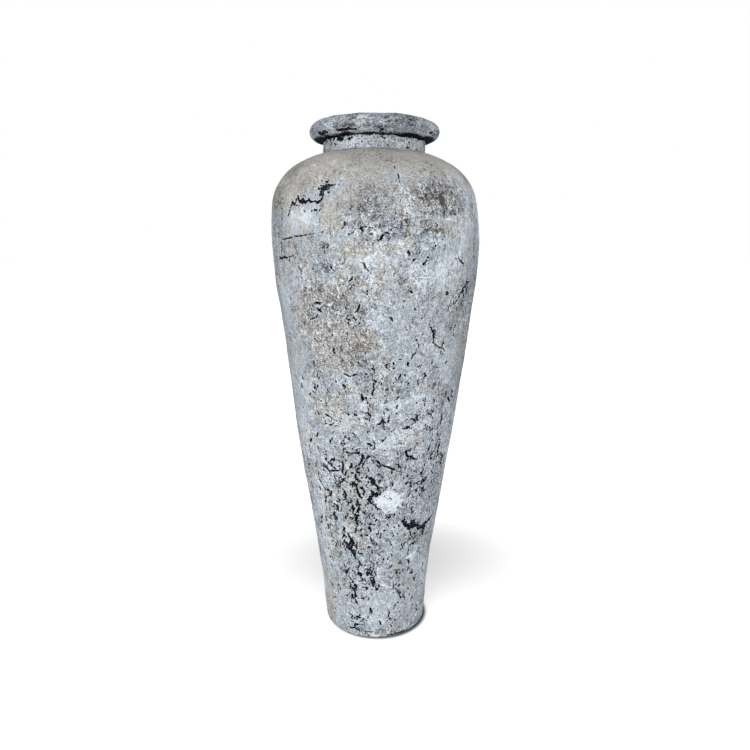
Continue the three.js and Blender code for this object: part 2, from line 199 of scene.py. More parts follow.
# Soft stains and washes, each a turn, a height, how far it reaches in turn and in height, and strength.
STAINS = {
    "warm": [
        (0, 925, 400, 44, 1.9), (-58, 872, 22, 30, 1.2), (-30, 900, 20, 22, 0.9), (8, 862, 34, 36, 1.2),
        (-14, 862, 10, 20, 0.6), (30, 812, 12, 20, 0.7), (-14, 330, 9, 60, 1.0), (-12, 240, 9, 50, 1.0),
        (-24, 620, 18, 60, 1.0), (-24, 500, 18, 50, 0.8), (36, 238, 12, 14, 0.9), (30, 430, 12, 24, 0.9),
        (2, 770, 14, 22, 0.6), (-30, 590, 12, 20, 0.8), (-66, 660, 16, 150, 0.9),
    ],
    "ochre": [
        (-62, 868, 16, 30, 1.1), (-38, 882, 12, 16, 1.0), (-27, 655, 7, 15, 1.0), (-20, 648, 7, 11, 1.2),
        (-38, 681, 6, 10, 0.8), (-12, 652, 6, 10, 0.7), (36, 848, 11, 24, 1.0), (28, 806, 9, 12, 1.0),
        (27, 422, 8, 14, 1.1), (63, 450, 5, 12, 1.0), (36, 226, 9, 10, 1.0), (46, 520, 8, 14, 0.9),
        (-8, 24, 9, 8, 0.8), (9, 27, 3, 4, 0.9), (-16, 240, 5, 30, 0.6), (-14, 350, 6, 40, 0.6),
        (2, 350, 4, 14, 1.1),
    ],
    "soot": [
        (-25, 779, 4, 8, 1.7), (-24, 745, 4, 9, 1.6), (32, 858, 10, 20, 1.6), (40, 850, 15, 28, 1.0),
        (48, 872, 14, 20, 0.8), (28, 806, 9, 12, 1.4), (37, 830, 7, 8, 0.9), (50, 633, 4, 11, 1.4),
        (56, 706, 6, 22, 1.3), (53, 506, 8, 16, 1.0), (-24, 662, 5, 6, 1.1), (55, 700, 5, 26, 0.8),
        (60, 842, 8, 30, 0.8), (-9, 14, 13, 8, 1.0), (-22, 30, 8, 12, 0.7), (12, 875, 3, 26, 0.7),
        (50, 690, 3, 18, 0.8), (58, 600, 4, 40, 0.6), (2, 792, 4, 7, 0.8), (44, 255, 6, 8, 0.8),
        (34, 448, 9, 16, 0.7), (24, 757, 7, 9, 0.7), (60, 340, 8, 50, 0.5), (63, 450, 4, 14, 1.3),
        (24, 410, 6, 14, 1.0), (59, 370, 5, 14, 1.2), (29, 343, 5, 9, 0.9), (37, 482, 5, 9, 1.0),
    ],
    "pale": [
        (-38, 822, 12, 24, 1.4), (-40, 735, 12, 36, 0.9), (-4, 754, 7, 10, 1.3), (11, 784, 4, 6, 1.3),
        (39, 822, 5, 7, 1.1), (28, 640, 18, 60, 0.4), (34, 728, 18, 24, 0.9), (-35, 634, 6, 8, 1.1),
        # The three tall pale stains at the left edge, near turn -57, paint a sheen down that side.
        (-56, 650, 14, 90, 1.3), (-56, 550, 14, 70, 0.9), (-58, 420, 10, 90, 0.5), (10, 314, 9, 13, 3.2),
        (17, 306, 6, 9, 2.4), (4, 306, 4, 6, 1.8), (12, 500, 6, 8, 2.0), (20, 508, 6, 7, 2.0),
        (27, 515, 5, 6, 1.8), (5, 427, 6, 9, 2.2), (13, 440, 6, 8, 2.4), (20, 450, 6, 8, 2.4),
        (27, 461, 5, 7, 2.0), (46, 560, 12, 60, 0.7), (14, 345, 6, 24, 1.0), (10, 46, 22, 40, 1.2),
        (-2, 44, 9, 40, 2.0), (0, 70, 70, 60, 0.9), (34, 30, 20, 30, 0.9), (-4, 130, 16, 40, 0.9),
        (10, 250, 9, 36, 0.9), (-24, 262, 7, 26, 0.7), (26, 503, 10, 10, 0.8), (-50, 330, 6, 30, 1.0),
        (38, 182, 4, 8, 1.4), (-30, 228, 8, 20, 0.6), (56, 822, 8, 30, 0.7), (-1, 800, 4, 6, 1.1),
        (40, 200, 22, 90, 0.5), (-46, 200, 12, 120, 0.5), (-40, 690, 14, 40, 0.4), (-34, 606, 14, 40, 0.4),
        (-44, 300, 9, 60, 0.8), (48, 790, 8, 30, 1.3), (43, 758, 8, 18, 1.1), (26, 40, 12, 20, 0.7),
        (8, 600, 9, 20, 0.5),
    ],
    "smooth": [
        (-64, 560, 14, 300, 0.6), (-46, 690, 12, 60, 0.4), (-6, 850, 40, 50, 0.6), (-40, 815, 12, 30, 0.6),
        (34, 120, 18, 80, 0.5), (-56, 260, 12, 200, 0.6), (70, 300, 12, 200, 0.5),
    ],
    "runs": [
        (62, 830, 12, 46, 1.1), (-62, 740, 9, 60, 0.8), (-38, 812, 11, 34, 0.5), (60, 640, 8, 60, 0.5),
        (-60, 600, 8, 70, 0.4), (40, 740, 12, 30, 0.2), (-60, 330, 8, 60, 0.4), (60, 330, 8, 70, 0.4),
    ],
    "mauve": [
        (-7, 822, 15, 34, 1.2), (8, 800, 12, 20, 1.0), (-2, 852, 14, 24, 0.8), (34, 826, 9, 8, 1.0),
        (-18, 680, 7, 16, 0.8), (-22, 600, 6, 14, 0.8), (20, 640, 14, 40, 0.6), (-38, 446, 12, 24, 0.8),
        (10, 864, 5, 24, 0.6), (-28, 790, 10, 30, 0.6), (44, 855, 20, 34, 1.5), (52, 812, 12, 30, 1.1),
        (-8, 560, 5, 24, 0.7), (-4, 450, 6, 26, 0.8), (34, 452, 10, 18, 0.6), (38, 482, 6, 10, 0.9),
        (58, 350, 8, 40, 0.7), (-9, 14, 14, 9, 0.9), (6, 720, 10, 20, 0.4),
    ],
}
# Where the smooth skin of the shoulder has broken up, written like the stains.
ROUGH = [(36, 856, 16, 26, 1.2), (28, 806, 12, 18, 0.6)]


def spline(rings, cells):
    """A curve through every ring: between two rings it is the cubic whose slope at each of them is
    half the step from the ring before to the ring after. Returns rows of (radius, height)."""
    ends = np.vstack([2 * rings[0] - rings[1], rings, 2 * rings[-1] - rings[-2]])
    share = np.linspace(0, 1, cells, endpoint=False)[:, None]
    rows = []
    for before, start, end, after in zip(ends, ends[1:], ends[2:], ends[3:]):
        leave, arrive = (end - before) / 2, (after - start) / 2
        rows.append(
            (2 * share**3 - 3 * share**2 + 1) * start
            + (share**3 - 2 * share**2 + share) * leave
            + (3 * share**2 - 2 * share**3) * end
            + (share**3 - share**2) * arrive
        )
    return np.vstack(rows + [rings[-1:]])[:, ::-1]


def ellipse(middle, reach, start, end, count):
    """Part of an ellipse as rows of (radius, height): its middle, plus its reach outwards times the
    cosine and its reach upwards times the sine of an angle that goes from the start to the end."""
    angle = np.linspace(start, end, count)[:, None]
    return np.array(middle) + np.array(reach) * np.hstack([np.cos(angle), np.sin(angle)])


def arc(line, lean, radius, end_lean):
    """Goes on from the end of a line of (radius, height) with a round arc towards the axis. The lean
    is the angle from upright at which the arc starts, and end_lean the one at which it stops."""
    centre = line[-1] - radius * np.array([math.cos(lean), math.sin(lean)])
    return np.vstack([line, ellipse(centre, radius, lean, end_lean, ARC_POINTS)[1:]])


def body_line():
    """The outer line of the body from the floor to the neck: the spline, then three arcs in a row.
    The last arc stops where it meets the neck."""
    line = spline(WALL_RINGS, RING_POINTS)
    line = arc(line, 0, BELT_ARC, BELT_TURN)
    lean = BELT_TURN + SHOULDER_TURN
    line = arc(line, BELT_TURN, SHOULDER_ARC, lean)
    centre = line[-1, 0] - CROWN_ARC * math.cos(lean)
    return arc(line, lean, CROWN_ARC, math.acos((NECK_RADIUS - centre) / CROWN_ARC))


def direction(line):
    """The direction of a line at each of its points, one unit long."""
    along = np.gradient(line, axis=0)
    return along / np.linalg.norm(along, axis=1)[:, None]


def moved_in(line, thickness):
    """The line moved in by a thickness, square to itself."""
    along = direction(line)
    return line + thickness * np.stack([-along[:, 1], along[:, 0]], axis=1)


def walked(line, spacing):
    """The same line with points at equal steps of about the given spacing along it."""
    way = np.concatenate([[0], np.cumsum(np.linalg.norm(np.diff(line, axis=0), axis=1))])
    steps = np.linspace(0, way[-1], max(2, round(way[-1] / spacing) + 1))
    return np.stack([np.interp(steps, way, line[:, 0]), np.interp(steps, way, line[:, 1])], axis=1)


def radius_at(line, height):
    """The radius of a line of (radius, height) at a height."""
    return np.interp(height, line[:, 1], line[:, 0])


def between(line, low, high, spacing):
    """The stretch of a line from one height to another, with a point on each, walked at a spacing."""
    ends = [[radius_at(line, height), height] for height in (low, high)]
    inner = line[(line[:, 1] > low) & (line[:, 1] < high)]
    return walked(np.vstack([ends[:1], inner, ends[1:]]), spacing)


OUTSIDE = body_line()
INSIDE = moved_in(OUTSIDE, CLAY)
NECK_SEAT = OUTSIDE[-1, 1]
LIP_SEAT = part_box("neck_collar")[1].z


def wall_middle(height):
    """The middle of the wall at a joint, where its ridge and groove run."""
    return (radius_at(OUTSIDE, height) + radius_at(INSIDE, height)) / 2


def ridge(middle, height):
    """The V under a piece, from the inside out."""
    half = RIDGE_WIDTH / 2
    return [(middle - half, height), (middle, height - RIDGE_DEPTH), (middle + half, height)]


def groove(middle, height):
    """The V in the top of a piece, from the outside in, clear of the ridge by the film of slip."""
    half = RIDGE_WIDTH / 2 + SLIP_GAP
    depth = RIDGE_DEPTH * half / (RIDGE_WIDTH / 2)
    return [(middle + half, height), (middle, height - depth), (middle - half, height)]


# The noise's lattice is tilted, so that its rows show neither round the jar nor up it.
TILT = np.linalg.qr(np.array([[3, 1, 2], [-1, 4, 1], [-2, -1, 5]]))[0].astype(np.float32)
LATTICE = 32


def noise(points, size, seed):
    """Smooth noise from about -1 to 1 with lumps of about the given size: seeded values at the corners
    of a lattice of cubes, blended smoothly between the eight corners round a point."""
    value = np.random.default_rng(seed).uniform(-1.2, 1.2, LATTICE**3).astype(np.float32)
    place = points.astype(np.float32) @ TILT / size
    cell = np.floor(place)
    x, y, z = (share * share * (3 - 2 * share) for share in (place - cell).T)
    near = cell.astype(np.int32) % LATTICE
    far = (near + 1) % LATTICE
    blend = 0
    for column, along_x in ((near[:, 0], 1 - x), (far[:, 0], x)):
        for row, along_y in ((near[:, 1], 1 - y), (far[:, 1], y)):
            corner = (column * LATTICE + row) * LATTICE
            up = value[corner + near[:, 2]] * (1 - z) + value[corner + far[:, 2]] * z
            blend = blend + along_x * along_y * up
    return blend


def layered(points, size, seed, layers=3, fade=0.5):
    """Noise on noise: each layer is half the size of the last and weaker by the fade."""
    return sum(fade**i * noise(points, size / 2**i, seed + i) for i in range(layers))


def ease(low, high, value):
    """0 below low and 1 above high, with a smooth rise between them."""
    share = np.clip((value - low) / (high - low), 0, 1)
    return share * share * (3 - 2 * share)


def carried_round(out, up):
    """Carries a column of (outwards, upwards) round the axis as an array of vectors, row by row: at each
    turn, X is outwards times its sine and Y is outwards times its cosine, to the front."""
    turn = np.linspace(0, 2 * math.pi, COLUMNS, endpoint=False)
    vectors = np.stack(np.broadcast_arrays(out * np.sin(turn), -out * np.cos(turn), up), -1)
    return vectors.reshape(-1, 3)


def ring_points(line):
    """The points of the surface that a line of (radius, height) sweeps round the axis."""
    return carried_round(line[:, :1], line[:, 1:])


def ring_normals(line):
    """The directions square to that surface, pointing out."""
    along = direction(line)
    return carried_round(along[:, 1:], -along[:, :1])


# The hand-built jar leans a little: heights, how far it stands off to the right at each, and how far it
# swings to the back.
LEAN_HEIGHTS = [0, 0.15, 0.35, 0.6, 0.75, 0.88, 1.0]
LEAN_RIGHT = [0, -0.001, -0.0008, 0.0024, 0.0022, -0.0012, -0.001]
LEAN_BACK = 0.0015


def drift(points):
    """How far the jar leans off its axis at each height, as offsets in X and Y. X is read off the lean to
    the right, and Y is a sine of the height that starts from 0 at the floor."""
    height = points[:, 2]
    right = np.interp(height, LEAN_HEIGHTS, LEAN_RIGHT)
    back = LEAN_BACK * np.sin(height * 5)
    return np.stack([right, back * np.minimum(1, height * 8), 0 * right], axis=1)


def on_wall(turn, height):
    """The places on the outer line of the wall at turns in degrees and heights in millimetres."""
    angle = np.radians(turn)
    radius = radius_at(OUTSIDE, height * MM)
    return np.stack([radius * np.sin(angle), -radius * np.cos(angle), height * MM], -1)


def zigzag(turn, height, lean, reach):
    """The corners of a crack that goes down from a place in steps, each with its lean from upright and
    its reach in millimetres."""
    degree = np.radians(1) * radius_at(OUTSIDE, height * MM) / MM
    turns = turn + np.concatenate([[0], np.cumsum(reach * np.sin(lean))]) / degree
    heights = height - np.concatenate([[0], np.cumsum(reach * np.cos(lean))])
    return list(zip(turns, heights))


WIDEST_STRAY = 6.5  # millimetres
STRAY_LOW = 20  # the heights in millimetres that the seeded cracks keep between
STRAY_HIGH = 880


def strayed_cracks():
    """The cracks of the cracked zones. Each starts at a seeded place about the middle of its zone and
    zigzags down in up to five steps of 4 to 13 mm times the size, each turned the other way from
    upright than the last."""
    random = np.random.default_rng(7)
    cracks = []
    for turn, height, stray_turn, stray_height, count, size in CRACKED_ZONES:
        for _ in range(count):
            steps = random.integers(1, 6)
            lean = random.normal(0, 0.35) + random.uniform(0.2, 1.0, steps) * (-1) ** np.arange(steps)
            reach = random.uniform(4, 13, steps) * size
            start = turn + random.normal() * stray_turn, height + random.normal() * stray_height
            corners = zigzag(*start, lean, reach)
            width = min(WIDEST_STRAY, 1.8 + random.exponential(1.4)) * size**0.5
            if corners[-1][1] > STRAY_LOW and start[1] < STRAY_HIGH:
                cracks.append((width, *corners))
    return cracks


SPLINTERED = 2.3  # only the cracks wider than this have splinters, in millimetres
SPLINTERS = 1.3  # their number for each millimetre of width


def splinters(cracks):
    """Short breaks beside the wider cracks. Each starts a little off a seeded place on its crack and goes
    on in one to three steps of 1.5 to 4.5 mm, any way round."""
    random = np.random.default_rng(11)
    breaks = []
    for width, *corners in cracks:
        for _ in range(int(width * SPLINTERS) if width > SPLINTERED else 0):
            first = random.integers(len(corners) - 1)
            share = random.uniform()
            near = np.array(corners[first]) * (1 - share) + np.array(corners[first + 1]) * share
            turn, height = near + random.normal(0, 1, 2) * (2.4, 5.0)
            steps = random.integers(1, 4)
            lean = random.uniform(-math.pi, math.pi) + random.normal(0, 0.8, steps)
            corners_near = zigzag(turn, height, lean, random.uniform(1.5, 4.5, steps))
            breaks.append((random.uniform(1.1, 2.3), *corners_near))
    return breaks


HAIRLINE = 0.7  # half the width of the finest crack that the grid can carry, in millimetres
FIELD_LIMIT = 3.0  # the fields of cracks are held between minus and plus this, in millimetres
CRACK_REACH = 0.007  # how far from its line a crack is worked out
FULLNESS = 0.55  # half width in the middle of a crack, as a share of its width
BLUNTNESS = 0.08  # what keeps its ends from closing to a point


def crack_field(points, cracks, swell):
    """How far each point lies inside the nearest crack, in millimetres, and negative outside. For one
    crack it is the half width less the distance to the crack's line. The half width tapers to both ends
    by the fourth root of a parabola and is times the swell at the point, but never under a hairline."""
    field = np.full(len(points), -FIELD_LIMIT, np.float32)
    rows = points[:, 2].reshape(-1, COLUMNS)
    row_low, row_high = rows.min(axis=1), rows.max(axis=1)
    for width, *corners in cracks:
        line = on_wall(*np.array(corners, float).T)
        low, high = line.min(axis=0) - CRACK_REACH, line.max(axis=0) + CRACK_REACH
        level = np.flatnonzero((row_high > low[2]) & (row_low < high[2]))
        if len(level) == 0:
            continue
        first, last = level[0] * COLUMNS, (level[-1] + 1) * COLUMNS
        band = points[first:last]
        near = first + np.flatnonzero(np.all((band > low) & (band < high), axis=1))
        start, step = line[:-1], np.diff(line, axis=0)
        away = points[near, None] - start
        share = np.clip(np.sum(away * step, axis=2) / np.sum(step * step, axis=1), 0, 1)
        distance = np.linalg.norm(away - share[..., None] * step, axis=2) / MM
        along = (share + np.arange(len(step))) / len(step)
        taper = (4 * along * (1 - along) + BLUNTNESS) ** 0.25
        half = np.maximum(HAIRLINE, width * FULLNESS * taper * swell[near, None])
        field[near] = np.maximum(field[near], np.max(half - distance, axis=1))
    return field


def spot_field(points, spots):
    """How far each point lies inside the nearest spot, in millimetres: half its width less the distance
    to its middle."""
    field = np.full(len(points), -FIELD_LIMIT, np.float32)
    for width, turn, height in spots:
        distance = np.linalg.norm(points - on_wall(turn, height), axis=1) / MM
        field = np.maximum(field, width / 2 - distance)
    return field


def turn_and_height(points):
    """The turn of each point in degrees from the front, and its height in millimetres."""
    return np.degrees(np.arctan2(points[:, 0], -points[:, 1])), points[:, 2] / MM


def stain(points, places):
    """The strongest of some soft spots at each point. A spot fades as the bell curve of the distance
    to its middle, with its reach in turn and in height as the two spreads."""
    turn, height = turn_and_height(points)
    total = np.zeros(len(points), np.float32)
    for middle, level, wide, tall, strength in places:
        off = (turn - middle + 180) % 360 - 180
        bell = strength * np.exp(-((off / wide) ** 2) - ((height - level) / tall) ** 2)
        total = np.maximum(total, bell)
    return total


CRACKS_ALL_ROUND = CRACKS + splinters(CRACKS) + strayed_cracks()


def frayed(points):
    """The points moved about by two sizes of noise, so that whatever is worked out at them has the
    frayed edges of broken slip."""
    moved = 0
    for shift, size, seed in ((0.0015, 0.009, 90), (0.0008, 0.0042, 95)):
        moved = moved + shift * np.stack([noise(points, size, seed + i) for i in range(3)], axis=1)
    return points + moved


def clouds(points, size, seed):
    """Noise of three sizes, a little drawn out up and down as brushed slip is."""
    return layered(points * np.array([1, 1, 0.8]), size, seed, 3, 0.62)


# Each stain's size of cloud, and how much of the jar the clouds cover behind and in front, where the
# spots are given: the further below 0, the less.
CLOUDED = {
    "warm": (0.16, -0.05, -0.15),
    "ochre": (0.075, -0.42, -0.30),
    "soot": (0.06, -0.60, -0.10),
    "pale": (0.12, 0.05, 0.0),
    "mauve": (0.10, -0.30, -0.05),
    "runs": (0.09, -0.35, 0.0),
    "smooth": (0.15, -0.10, -0.15),
}
FRONT = 68  # degrees to each side over which the front, with its placed stains, gives way to the clouds
SMOOTH_FROM = 830  # heights in millimetres between which the torn skin gives way to a smooth shoulder
SMOOTH_TO = 920
PALE_RELIEF = 0.0004
CRACK_DEPTH = 0.0024


def weather(points):
    """What years of weather did to the skin at each point. Returns how far the surface stands out,
    in metres, and the fields that colour it. The field of the cracks is the strongest of the cracks and
    spots, frayed, and of the scores, and lime fills it where it runs over them. A stain's field is its
    listed spots plus seeded clouds, which count for less in front. The surface stands out by slow
    waves and fine lumps of noise and by the pale slip, and sinks into the cracks."""
    bent = frayed(points)
    turn, height = turn_and_height(points)
    front = np.exp(-((turn / FRONT) ** 4))

    swell = np.maximum(0.6, 0.95 + 0.4 * noise(points, 0.010, 12) + 0.45 * noise(points, 0.0045, 13))
    crack = np.maximum(crack_field(bent, CRACKS_ALL_ROUND, swell), spot_field(bent, SPOTS))
    crack = np.maximum(crack, crack_field(points, SCORES, swell))
    chalk = crack_field(bent, CHALK_MARKS, swell)
    crack = crack - 4 * ease(1.0, 3.0, chalk)
    fields = {"crack": np.clip(crack, -FIELD_LIMIT, FIELD_LIMIT), "chalk": chalk}
    for seed, (name, (size, behind, ahead)) in enumerate(CLOUDED.items()):
        cloud = clouds(bent, size, 40 + 10 * seed) * (1.25 - 0.75 * front)
        fields[name] = stain(points, STAINS[name]) + cloud + behind + (ahead - behind) * front
    top = ease(SMOOTH_FROM, SMOOTH_TO, height + 20 * noise(points, 0.06, 70))
    fields["smooth"] = np.maximum(top, np.clip(fields["smooth"], 0, 1)) - 0.7 * stain(points, ROUGH)
    fields["pale"] -= 0.15 * top
    fields["soot"] -= 0.5 * top

    out = 0.0007 * noise(points, 0.10, 1) + 0.0004 * noise(points, 0.04, 2)
    out += 0.00022 * layered(points, 0.007, 80, 2, 0.7)
    out += PALE_RELIEF * ease(-0.2, 0.4, fields["pale"]) - CRACK_DEPTH * ease(-0.8, 0.8, crack)
    return out, fields


def quads(rows, closed):
    """The four corners of each cell of a grid of rows, with the columns joined round the axis, and the
    last row joined to the first when the section is closed."""
    row = np.arange(rows if closed else rows - 1)[:, None]
    column = np.arange(COLUMNS)[None, :]
    above, right = (row + 1) % rows, (column + 1) % COLUMNS
    low, high = row * COLUMNS, above * COLUMNS
    corners = [low + column, low + right, high + right, high + column]
    return np.stack(np.broadcast_arrays(*corners), -1).reshape(-1, 4)


def linked(name, data):
    """A new object that holds the data, linked into the scene."""
    made = bpy.data.objects.new(name, data)
    bpy.context.scene.collection.objects.link(made)
    return made


SEAM_ANGLE = math.radians(60)  # edges sharper than this stay sharp
FLAT_FOOT = 0.004  # height over which the weather fades in from the floor, so that the foot stands flat


def turned(name, before, outer, after, weathered=weather):
    """A piece turned round the axis. Its section runs through the points before the outer line, along
    the outer line from bottom to top, and through the points after it. Only the outer line is
    weathered. A section that starts and ends on the axis gets a pole at each end, and any other is
    closed on itself. The rest of the surface is marked as inner."""
    before, after = np.array(before), np.array(after)
    poles = before[0, 0] == 0
    if poles:
        bottom, top = before[0, 1], after[-1, 1]
        before, after = before[1:], after[:-1]
    skin = ring_points(outer)
    out, fields = weathered(skin)
    skin = skin + ring_normals(outer) * (out * ease(0, FLAT_FOOT, skin[:, 2]))[:, None]
    points = np.vstack([ring_points(before), skin, ring_points(after)])
    rows = len(points) // COLUMNS
    faces = quads(rows, not poles).tolist()
    if poles:
        low, high = len(points), len(points) + 1
        points = np.vstack([points, [[0, 0, bottom], [0, 0, top]]])
        column = np.arange(COLUMNS)
        right = (column + 1) % COLUMNS
        last = (rows - 1) * COLUMNS
        faces += np.stack([np.full(COLUMNS, low), right, column], 1).tolist()
        faces += np.stack([last + column, last + right, np.full(COLUMNS, high)], 1).tolist()
    points += drift(points)
    mesh = bpy.data.meshes.new(name)
    mesh.from_pydata(points.tolist(), [], faces)
    mesh.polygons.foreach_set("use_smooth", np.ones(len(mesh.polygons), bool))
    mesh.set_sharp_from_angle(angle=SEAM_ANGLE)
    start = len(before) * COLUMNS
    fields["inner"] = 0.0
    for field_name, field in fields.items():
        values = np.full(len(points), 1.0 if field_name == "inner" else 0.0, np.float32)
        values[start : start + len(skin)] = field
        mesh.attributes.new(field_name, "FLOAT", "POINT").data.foreach_set("value", values)
    return linked(name, mesh)


class Wire:
    """An output socket in a node tree. Arithmetic on wires and numbers adds the Math nodes for it."""

    def __init__(self, nodes, socket):
        self.nodes = nodes
        self.socket = socket

    def math(self, operation, *values):
        """The outcome of a Math node on some wires or numbers."""
        return self.nodes.node("ShaderNodeMath", {"operation": operation}, dict(enumerate(values)))

    def __add__(self, other):
        return self.math("ADD", self, other)

    def __mul__(self, other):
        return self.math("MULTIPLY", self, other)

    def __sub__(self, other):
        return self.math("SUBTRACT", self, other)

    def __rsub__(self, other):
        return self.math("SUBTRACT", other, self)

    __radd__ = __add__
    __rmul__ = __mul__

    def depth(self):
        """How far the value is from 0."""
        return self.math("ABSOLUTE", self)

    def rise(self, low, high):
        """0 below low and 1 above high, smooth between, also where high is below low."""
        values = {"Value": self, "From Min": low, "From Max": high}
        return self.nodes.node("ShaderNodeMapRange", {"interpolation_type": "SMOOTHSTEP"}, values)


class Nodes:
    """A node tree under construction."""

    def __init__(self, tree):
        self.tree = tree

    def node(self, kind, settings=None, values=None, output=0):
        """Adds a node of the kind, with its settings and then the values or wires of its sockets.
        Sockets go by number, name or identifier."""
        made = self.tree.nodes.new(kind)
        for key, value in (settings or {}).items():
            setattr(made, key, value)
        for key, value in (values or {}).items():
            socket = made.inputs[key] if isinstance(key, int) else self.named(made.inputs, key)
            if isinstance(value, Wire):
                self.tree.links.new(value.socket, socket)
            else:
                socket.default_value = value
        found = made.outputs[output] if isinstance(output, int) else self.named(made.outputs, output)
        return Wire(self, found)

    def named(self, sockets, key):
        """The socket with that identifier, or else the first with that name."""
        exact = [socket for socket in sockets if socket.identifier == key]
        return (exact or [socket for socket in sockets if socket.name == key])[0]


class Finish(Nodes):
    """A material under construction: its node tree and its main shader."""

    def __init__(self, name, roughness, shine=0.05):
        self.material = bpy.data.materials.new(name)
        self.material.use_nodes = True
        super().__init__(self.material.node_tree)
        self.shader = self.tree.nodes["Principled BSDF"]
        self.shader.inputs["Roughness"].default_value = roughness
        self.shader.inputs["Specular IOR Level"].default_value = shine
        self.place = self.node("ShaderNodeTexCoord", output="Object")

    def field(self, name):
        """A field that the mesh carries."""
        return self.node("ShaderNodeAttribute", {"attribute_name": name}, output="Fac")

    def grain(self, size, detail=2.0, rough=0.6, shift=0.0, tall=1.0, twist=0.0):
        """Noise in space of about -1 to 1, with lumps of about the size that are taller than wide by a
        factor. The shift picks another part of the noise, and twist curls its lumps."""
        scale = (1 / size, 1 / size, 1 / (size * tall))
        at = {"Vector": self.place, "Location": (shift,) * 3, "Scale": scale}
        place = self.node("ShaderNodeMapping", None, at)
        values = {"Vector": place, "Scale": 1.0, "Detail": detail, "Roughness": rough, "Distortion": twist}
        return (self.node("ShaderNodeTexNoise", None, values, "Fac") - 0.5) * 12.0

    def mixed(self, share, low, high, blend="MIX"):
        """The colour low where the share is 0 and high where it is 1."""
        values = {"Factor_Float": share, "A_Color": low, "B_Color": high}
        settings = {"data_type": "RGBA", "blend_type": blend}
        return self.node("ShaderNodeMix", settings, values, "Result_Color")

    def dimmed(self, tone, colour):
        """The colour times the tone, a number from 0 to 1."""
        return self.mixed(1.0, colour, tone, "MULTIPLY")

    def join(self, wire, socket):
        """Feeds a wire into a socket of the main shader."""
        self.tree.links.new(wire.socket, self.shader.inputs[socket])


def seen(red, green, blue):
    """A colour given as it looks on a screen, 0 to 255, as the linear colour that shaders take: a
    straight line near black, and a power of 2.4 above it."""
    shares = [channel / 255 for channel in (red, green, blue)]
    linear = [share / 12.92 if share < 0.04045 else ((share + 0.055) / 1.055) ** 2.4 for share in shares]
    return (*linear, 1.0)


GREY_SLIP = seen(175, 183, 191)
WARM_SLIP = seen(181, 178, 173)
PALE_SLIP = seen(210, 219, 228)
WARM_PALE = seen(210, 209, 206)
MAUVE_WASH = seen(142, 145, 156)
OCHRE_STAIN = seen(148, 138, 123)
LIME_AND_EDGE_HIGHLIGHT = seen(230, 238, 247)
BROWN_SOOT = seen(70, 60, 52)
UNDERCOAT = seen(12, 15, 24)
FLAKED_GREY = seen(84, 90, 98)
CHALK = seen(238, 246, 252)
INNER_CLAY = seen(120, 112, 104)
INNER_SHADE = seen(92, 86, 80)


